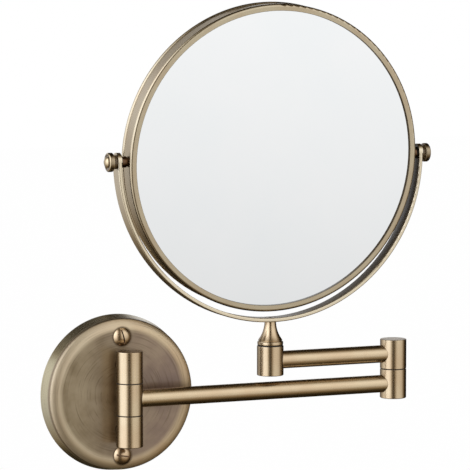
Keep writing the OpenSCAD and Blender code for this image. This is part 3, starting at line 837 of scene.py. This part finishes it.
class MIRROR_OT_wall_plate(Operator):
    """Turn the wall plate: drafted rim, rounded shoulder, brushed face and a hollow back"""

    bl_idname = "shaving_mirror.wall_plate"
    bl_label = "Wall plate"

    def execute(self, context):
        sizes = context.scene.mirror_sizes
        radius = size_of("wall_plate").x / 2
        depth = size_of("wall_plate").y
        edge_radius = radius - sizes.rim_draft
        face_radius = edge_radius - sizes.shoulder_width
        rim_height = depth - sizes.shoulder_height
        shoulder = dome(sizes.shoulder_width, sizes.shoulder_height, depth, 10, face_radius)
        wall, face = 2.4 * MM, 3.5 * MM
        bore, tube_radius = 2.7 * MM, 5.7 * MM
        post, shank, post_seat = 5.05 * MM, 2.75 * MM, depth - MM
        outline = rounded(
            [(0, depth, 0), (face_radius - 2 * HOLD, depth, 0)]
            + shoulder[:-1]
            + [
                (edge_radius, rim_height, 0.7 * MM),
                (radius, 0, 0.3 * MM),
                (radius - wall, 0, 0.3 * MM),
                (face_radius, depth - face, 0.8 * MM),
                (0, depth - face, 0),
            ]
        )
        brass = material("plate_brass")
        plate = turned("wall_plate_shell", outline, ON_WALL, brass, steps=160)
        holes = []
        tubes = []
        screw_low, screw_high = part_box("wall_screws")
        head = size_of("wall_screws").x / 2
        for level in (screw_low.z + head, screw_high.z - head):
            place = Matrix.Translation((0, 0, level)) @ ON_WALL
            tube = rounded(
                [
                    (bore, 0, 0),
                    (tube_radius, 0, sizes.edge),
                    (tube_radius, depth - face / 2, 0),
                    (bore, depth - face / 2, 0),
                ],
                closed=True,
            )
            tubes.append(turned("tube", tube, place, brass, SMALL_STEPS))
            cut = [(0, -MM, 0), (bore, -MM, 0), (bore, depth + MM, 0), (0, depth + MM, 0)]
            holes.append(turned("hole", rounded(cut), place, brass, SMALL_STEPS))
        for node in ("upper_knuckle", "lower_knuckle"):
            low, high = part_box(node)
            place = Matrix.Translation((0, 0, (low.z + high.z) / 2)) @ ON_WALL
            cut = [(0, 0, 0), (shank, 0, 0), (shank, post_seat, 0), (post, post_seat, 0)]
            cut += [(post, depth + MM, 0), (0, depth + MM, 0)]
            holes.append(turned("hole", rounded(cut), place, brass, SMALL_STEPS))
        carve(plate, tubes, "UNION")
        carve(plate, holes, "DIFFERENCE")
        finish(plate, "wall_mount", ["wall_plate"])
        return {"FINISHED"}


class MIRROR_OT_wall_screws(Operator):
    """Make the two slotted dome-head wall screws"""

    bl_idname = "shaving_mirror.wall_screws"
    bl_label = "Wall screws"

    def execute(self, context):
        low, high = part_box("wall_screws")
        plate_depth = size_of("wall_plate").y
        head_radius = size_of("wall_screws").x / 2
        head_height = -low.y - plate_depth
        rise = 3.1 * MM
        shank, thread, in_wall = 2.45 * MM, 2.2 * MM, 28 * MM
        slot_width, slot_depth = 0.9 * MM, 1.6 * MM
        tip = -(plate_depth + in_wall)
        outline = rounded(
            dome(head_radius, rise, rise, 14)[:-1]
            + [
                (head_radius, 0, 0.15 * MM),
                (shank, 0, 0),
                (shank, -plate_depth, 0),
                (thread, -plate_depth, 0),
                (thread, tip, 0),
                (0, tip - 2 * thread, 0),
            ]
        )
        first = Vector((0, -plate_depth, low.z + head_radius))
        last = Vector((0, -plate_depth, high.z - head_radius))
        screw = turned("wall_screw_pair", outline, ON_WALL, material("screw_brass"), SCREW_STEPS)
        run_tree(
            screw, row_tree(),
            {"Count": 2, "First": first, "Step": last - first, "Material": material("screw_brass")},
        )
        slots = []
        for middle, slant in ((first, math.radians(80)), (last, math.radians(14))):
            place = Matrix.Translation(middle) @ ON_WALL @ Matrix.Rotation(slant, 4, "Z")
            floor = head_height - slot_depth
            slots.append(slot_cutter(place, slot_width, 3 * head_radius, floor, head_height + MM))
        carve(screw, slots, "DIFFERENCE")
        finish(screw, "wall_mount", ["wall_screws"])
        return {"FINISHED"}


class MIRROR_OT_hinge(Operator):
    """Make the wall hinge: two outer knuckles with posts, the arm's knuckle and the cap below"""

    bl_idname = "shaving_mirror.hinge"
    bl_label = "Hinge"

    def execute(self, context):
        sizes = context.scene.mirror_sizes
        crisp = sizes.edge
        post_radius, post_start = 5 * MM, 6 * MM
        pocket = (size_of("hinge_cap").x / 2 + CAP_FIT, POCKET_DEPTH)
        for node, foot, top, hollow in (
            ("upper_knuckle", crisp, 2 * crisp, None),
            ("lower_knuckle", 2 * crisp, crisp, pocket),
        ):
            low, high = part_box(node)
            outline = barrel_outline(high.z - low.z, foot, top, hollow)
            barrel = turned(node + "_barrel", outline, upright(HINGE, low.z), material("upright_brass"))
            back = high.y - HINGE.y
            post = rounded([
                (0, post_start, 0), (post_radius, post_start, 0), (post_radius, back, crisp), (0, back, 0),
            ])
            place = upright(HINGE, (low.z + high.z) / 2) @ TOWARDS_WALL
            # The post is dark brass: painted shade between the barrel and the plate
            carve(barrel, [turned("post", post, place, material("dark_brass"), SMALL_STEPS)], "UNION")
            finish(barrel, "wall_mount", [node])
        low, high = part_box("arm_knuckle")
        outline = barrel_outline(high.z - low.z, crisp, crisp)
        knuckle = turned("arm_knuckle_barrel", outline, upright(HINGE, low.z), material("upright_brass"))
        finish(knuckle, "lower_arm", ["arm_knuckle"])
        make_cap("hinge_cap", HINGE, "wall_mount")
        return {"FINISHED"}


def make_cap(node, joint, body):
    """The slightly domed cap that closes the pocket under a barrel."""
    low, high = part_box(node)
    radius = (high.x - low.x) / 2
    height = high.z - low.z
    outline = rounded([
        (0, height, 0),
        (radius, height, 0.1 * MM),
        (radius, 0.25 * MM, 0.15 * MM),
        (radius * 0.6, 0.05 * MM, 0),
        (0, 0, 0),
    ])
    cap = turned(node + "_disc", outline, upright(joint, low.z), material("upright_brass"), SCREW_STEPS)
    finish(cap, body, [node])


def make_barrel(node, joint, body, foot, top, pocketed):
    """A barrel on a joint's axis. A pocketed one is hollow at its foot."""
    low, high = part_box(node)
    pocket = (POCKET_RADIUS, POCKET_DEPTH) if pocketed else None
    outline = barrel_outline(high.z - low.z, foot, top, pocket)
    barrel = turned(node + "_shell", outline, upright(joint, low.z), material("upright_brass"))
    finish(barrel, body, [node])


def make_tube(node, start, end, level, body):
    """An arm tube, its ends coped over the barrels with a small brazing flare."""
    sizes = bpy.context.scene.mirror_sizes
    radius = size_of(node).z / 2
    inner = radius - sizes.tube_wall
    length = end.x - start.x
    flare, flare_length, bands = 0.3 * MM, 1.1 * MM, 6
    near_points = []
    for share, rise in ((0.0, 1.0), (0.12, 0.62), (0.3, 0.3), (0.6, 0.08), (1.0, 0.0), (1.15, 0.0)):
        near_points.append((radius + flare * rise, share * flare_length))
    middle = [(radius, length * band / bands) for band in range(1, bands)]
    far_points = [(ring, length - along) for ring, along in reversed(near_points)]
    outline = near_points + middle + far_points
    outline += [(inner, length), (inner, 0), near_points[0]]
    sunk = 0.2 * MM
    cope = size_of("arm_knuckle").x / 2 - sunk
    place = Matrix.Translation((start.x, start.y, level)) @ TO_RIGHT
    tube = turned(node + "_coped", outline, place, material("arm_brass"), 72, length, cope)
    finish(tube, body, [node])


class MIRROR_OT_lower_arm(Operator):
    """Make the lower arm: coped tube, elbow barrel and its cap"""

    bl_idname = "shaving_mirror.lower_arm"
    bl_label = "Lower arm"

    def execute(self, context):
        crisp = context.scene.mirror_sizes.edge
        make_tube("lower_arm_tube", HINGE, ELBOW, HINGE.z, "lower_arm")
        make_barrel("elbow_lower_barrel", ELBOW, "lower_arm", 2 * crisp, crisp, True)
        make_cap("elbow_cap", ELBOW, "lower_arm")
        return {"FINISHED"}


class MIRROR_OT_upper_arm(Operator):
    """Make the upper arm: coped tube, elbow barrel, the stem's socket and its cap"""

    bl_idname = "shaving_mirror.upper_arm"
    bl_label = "Upper arm"

    def execute(self, context):
        crisp = context.scene.mirror_sizes.edge
        low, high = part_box("upper_arm_tube")
        make_tube("upper_arm_tube", STEM, ELBOW, (low.z + high.z) / 2, "upper_arm")
        make_barrel("elbow_upper_barrel", ELBOW, "upper_arm", crisp, 2 * crisp, False)
        make_barrel("stem_socket", STEM, "upper_arm", 2 * crisp, crisp, True)
        make_cap("stem_cap", STEM, "upper_arm")
        return {"FINISHED"}


class MIRROR_OT_neck(Operator):
    """Turn the stem's neck with its bead"""

    bl_idname = "shaving_mirror.neck"
    bl_label = "Neck"

    def execute(self, context):
        low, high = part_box("yoke_neck")
        bead_radius = size_of("yoke_neck").x / 2
        bead_height, bead_top = 2.8 * MM, bead_radius - 1.0 * MM
        top_radius, stem_radius, height = 3.9 * MM, 3.5 * MM, 15.9 * MM
        spread = bead_radius - top_radius
        hollow = (spread ** 2 + (height - bead_height) ** 2) / (2 * spread)
        sweep = math.asin((height - bead_height) / hollow)
        neck = arc((top_radius + hollow, height), hollow, math.pi, math.pi + sweep, 16)
        level = high.z - height
        outline = rounded(
            [(0, height, 0)]
            + neck[:-1]
            + [
                (bead_top, bead_height, 0.25 * MM),
                (bead_radius, bead_height - 0.3 * MM, 0.6 * MM),
                (bead_radius, 0, 0.8 * MM),
                (stem_radius, 0, 0),
                (stem_radius, low.z - level, 0),
                (0, low.z - level, 0),
            ]
        )
        piece = turned("yoke_neck_turned", outline, upright(STEM, level), material("upright_brass"))
        finish(piece, "yoke_frame", ["yoke_neck"])
        return {"FINISHED"}


class MIRROR_OT_thumb_screws(Operator):
    """Make the two thumb screws"""

    bl_idname = "shaving_mirror.thumb_screws"
    bl_label = "Thumb screws"

    def execute(self, context):
        gap = 0.05 * MM
        start = size_of("yoke").x / 2 + gap
        neck_radius, neck_length = 4.65 * MM, 2.3 * MM
        disc_radius, disc_length = size_of("right_thumb_screw").z / 2, 3.6 * MM
        dome_radius, dome_height, groove_depth = 4.1 * MM, 2.1 * MM, 0.35 * MM
        disc_end = start + neck_length + disc_length
        groove_level = disc_end - groove_depth
        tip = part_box("right_thumb_screw")[1].x - PIVOT.x
        inner_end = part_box("right_thumb_screw")[0].x - PIVOT.x
        thread = 2 * MM
        outline = rounded(
            dome(dome_radius, dome_height, tip, 12, share=0.86)
            + [
                (dome_radius * 0.88, groove_level, 0.1 * MM),
                (dome_radius * 1.06, groove_level, 0.15 * MM),
                (dome_radius * 1.16, disc_end, 0.2 * MM),
                (disc_radius, disc_end, 1.0 * MM),
                (disc_radius, start + neck_length, 0.8 * MM),
                (neck_radius, start + neck_length, 0.2 * MM),
                (neck_radius, start, 0.3 * MM),
                (thread, start, 0),
                (thread, inner_end, 0.3 * MM),
                (0, inner_end, 0),
            ]
        )
        for node, place, body in (
            ("left_thumb_screw", TO_LEFT, "left_knob"),
            ("right_thumb_screw", TO_RIGHT, "right_knob"),
        ):
            brass = material("knob_brass")
            screw = turned(node + "_turned", outline, AT_MIRROR @ place, brass, SCREW_STEPS)
            finish(screw, body, [node])
        return {"FINISHED"}


class MIRROR_OT_collars(Operator):
    """Make the two dark collars between mirror and yoke"""

    bl_idname = "shaving_mirror.collars"
    bl_label = "Collars"

    def execute(self, context):
        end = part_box("pivot_collars")[1].x - PIVOT.x
        radius = size_of("pivot_collars").y / 2
        band = size_of("mirror_band").x / 2
        bore, waist = 2.05 * MM, 3.2 * MM
        foot, flange = band - 0.05 * MM, band + 0.9 * MM
        outline = rounded(
            [
                (bore, foot, 0),
                (waist, foot, 0),
                (waist, flange, 0.1 * MM),
                (radius, flange, 0.15 * MM),
                (radius, end, 0.3 * MM),
                (bore, end, 0.1 * MM),
            ],
            closed=True,
        )
        brass = material("dark_brass")
        pair = turned("pivot_collar_pair", outline, AT_MIRROR @ TO_RIGHT, brass, SCREW_STEPS)
        other = turned("other", outline, AT_MIRROR @ TO_LEFT, brass, SCREW_STEPS)
        carve(pair, [other], "UNION")
        finish(pair, "mirror_head", ["pivot_collars"])
        return {"FINISHED"}


class MIRROR_OT_magnifying_glass(Operator):
    """Turn the dished magnifying glass on the mirror's back"""

    bl_idname = "shaving_mirror.magnifying_glass"
    bl_label = "Magnifying glass"

    def execute(self, context):
        corners = frame["nodes"]["magnifying_glass"].data.vertices
        places = [AT_MIRROR.inverted() @ corner.co for corner in corners]
        radius = max(Vector((place.x, place.z)).length for place in places)
        at_rim = [-place.y for place in places if Vector((place.x, place.z)).length > radius - MERGE]
        back, front = min(at_rim), max(at_rim)
        dish = max(-place.y for place in places) - front
        bowl = dome(radius, dish, back + dish, 40)
        inner = [(ring, level + front - back) for ring, level, _ in reversed(bowl)]
        outline = [(ring, level) for ring, level, _ in bowl] + inner
        place = AT_MIRROR @ ON_WALL
        glass = turned("magnifying_glass_dished", outline, place, material("glass"), 128)
        finish(glass, "mirror_head", ["magnifying_glass"])
        return {"FINISHED"}


class MIRROR_OT_shown_nodes(Operator):
    """Give every CAD node that is shown as it is its finish"""

    bl_idname = "shaving_mirror.shown_nodes"
    bl_label = "Other pieces"

    def execute(self, context):
        for node, finish_name in SHOWN_NODES.items():
            slots = frame["nodes"][node].data.materials
            slots.clear()
            slots.append(material(finish_name))
        return {"FINISHED"}


# ---------------------------------------------------------------- stage


def studio_world(look):
    """A soft studio: two tall panels with a dark gap at the camera, pale paper behind, dark above and below.

    Angles are in degrees: around is 0 straight out of the wall and grows to the right, up is 0 on the level.
    """
    degrees = 180 / math.pi
    world = bpy.data.worlds.new("studio")
    bpy.context.scene.world = world
    world.use_nodes = True
    world.node_tree.nodes.clear()
    make = NodeMaker(world.node_tree)
    x, y, z = make.split(make.add("ShaderNodeTexCoord").outputs["Generated"])
    around = x.angle_from(0 - y) * degrees
    up = z.arcsine() * degrees
    left = around.rise(-155, -95) * (1 - around.rise(-56, -28))
    right = around.rise(-16, 8) * (1 - around.rise(46, 100))
    tall = up.rise(-70, 30) * (1 - up.rise(32, 78))
    paper = around.rise(-180, -160) * (1 - around.rise(-143, -120))
    paper = paper * up.rise(-60, -5) * (1 - up.rise(16, 27))
    sill = around.rise(135, 152) * (1 - around.rise(160, 168)) * 1.2
    sill = sill * up.rise(-3, 5) * (1 - up.rise(15, 21))
    behind = around.rise(160, 168) + (1 - around.rise(-162, -154))
    sill = sill + behind * up.rise(-4, 8) * (1 - up.rise(27, 33)) * 0.9
    card = around.rise(8, 14) * (1 - around.rise(32, 38)) * up.rise(-20, -9) * (1 - up.rise(-8, -4))
    light = (left * 1.85 + right) * tall * look.panel_light + (paper + sill) * 0.75 + card * 0.16
    seen = make.add("ShaderNodeLightPath").outputs["Is Camera Ray"]
    colour = make.mix(light.rise(0, 0.8), (1.0, 0.72, 0.36, 1), (1.0, 0.985, 0.965, 1))
    colour = make.mix(light.rise(0.9, 1.7), colour, (0.96, 1.0, 1.1, 1))
    soft = make.add("ShaderNodeBackground", {}, {"Color": colour, "Strength": light + look.dark_light})
    white = make.add("ShaderNodeBackground", {}, {"Color": WHITE, "Strength": 1.0})
    both = make.add("ShaderNodeMixShader", {}, {0: seen, 1: soft.outputs[0], 2: white.outputs[0]})
    make.add("ShaderNodeOutputWorld", {}, {"Surface": both.outputs[0]})


class MIRROR_OT_stage(Operator):
    """Set the camera, the pale floor and the soft light"""

    bl_idname = "shaving_mirror.stage"
    bl_label = "Stage"

    def execute(self, context):
        look = context.scene.studio_look
        aim = Vector((0.0625, -0.060, 0.1090))
        half, drop, tooth_scale = 6.0, 0.25, 60
        back = Vector((
            -math.sin(look.around) * math.cos(look.above),
            -math.cos(look.around) * math.cos(look.above),
            math.sin(look.above),
        ))
        camera = bpy.data.objects.new("camera", bpy.data.cameras.new("camera"))
        context.scene.collection.objects.link(camera)
        camera.data.lens = look.lens
        camera.data.sensor_width = 36
        camera.data.clip_end = 50
        camera.location = aim + back * look.distance
        camera.rotation_euler = back.to_track_quat("Z", "Y").to_euler()
        context.scene.camera = camera
        studio_world(look)
        under = cad_box[0].z - drop
        corners = [(-half, -half, under), (half, -half, under), (half, half, under), (-half, half, under)]
        floor = new_piece("floor", corners, faces=[(0, 1, 2, 3)])
        paper, make = new_material("floor_paper")
        parts = make.places()
        tooth = make.mottle(parts, tooth_scale, 2.0)
        glow = make.add(
            "ShaderNodeEmission", {},
            {"Color": make.mix(tooth, WHITE, (0.99, 0.99, 0.99, 1)), "Strength": 1.0},
        )
        make.add("ShaderNodeOutputMaterial", {}, {"Surface": glow.outputs[0]})
        floor.data.materials.append(paper)
        floor.visible_glossy = False
        floor.visible_diffuse = False
        floor.visible_shadow = False
        context.scene.view_settings.view_transform = "Standard"
        return {"FINISHED"}


# ---------------------------------------------------------------- panel and registration

STEPS = (
    MIRROR_OT_stage,
    MIRROR_OT_wall_plate,
    MIRROR_OT_wall_screws,
    MIRROR_OT_hinge,
    MIRROR_OT_lower_arm,
    MIRROR_OT_upper_arm,
    MIRROR_OT_neck,
    MIRROR_OT_thumb_screws,
    MIRROR_OT_collars,
    MIRROR_OT_magnifying_glass,
    MIRROR_OT_shown_nodes,
)


class MIRROR_PT_steps(Panel):
    """The steps that build the mirror, with the sizes and finishes that they use"""

    bl_idname = "MIRROR_PT_steps"
    bl_label = "Shaving Mirror"
    bl_space_type = "VIEW_3D"
    bl_region_type = "UI"
    bl_category = "Shaving Mirror"

    def draw(self, context):
        layout = self.layout
        for group in (context.scene.mirror_sizes, context.scene.brass_finish, context.scene.studio_look):
            box = layout.box()
            for name in group.__annotations__:
                box.prop(group, name)
        for step in STEPS:
            layout.operator(step.bl_idname)


CLASSES = (MirrorSizes, BrassFinish, StudioLook, *STEPS, MIRROR_PT_steps)


def register():
    for item in CLASSES:
        bpy.utils.register_class(item)
    bpy.types.Scene.mirror_sizes = PointerProperty(type=MirrorSizes)
    bpy.types.Scene.brass_finish = PointerProperty(type=BrassFinish)
    bpy.types.Scene.studio_look = PointerProperty(type=StudioLook)


def unregister():
    del bpy.types.Scene.studio_look
    del bpy.types.Scene.brass_finish
    del bpy.types.Scene.mirror_sizes
    for item in reversed(CLASSES):
        bpy.utils.unregister_class(item)


def main():
    register()
    bpy.ops.shaving_mirror.stage()
    bpy.ops.shaving_mirror.wall_plate()
    bpy.ops.shaving_mirror.wall_screws()
    bpy.ops.shaving_mirror.hinge()
    bpy.ops.shaving_mirror.lower_arm()
    bpy.ops.shaving_mirror.upper_arm()
    bpy.ops.shaving_mirror.neck()
    bpy.ops.shaving_mirror.thumb_screws()
    bpy.ops.shaving_mirror.collars()
    bpy.ops.shaving_mirror.magnifying_glass()
    bpy.ops.shaving_mirror.shown_nodes()


if __name__ == "__main__":
    main()
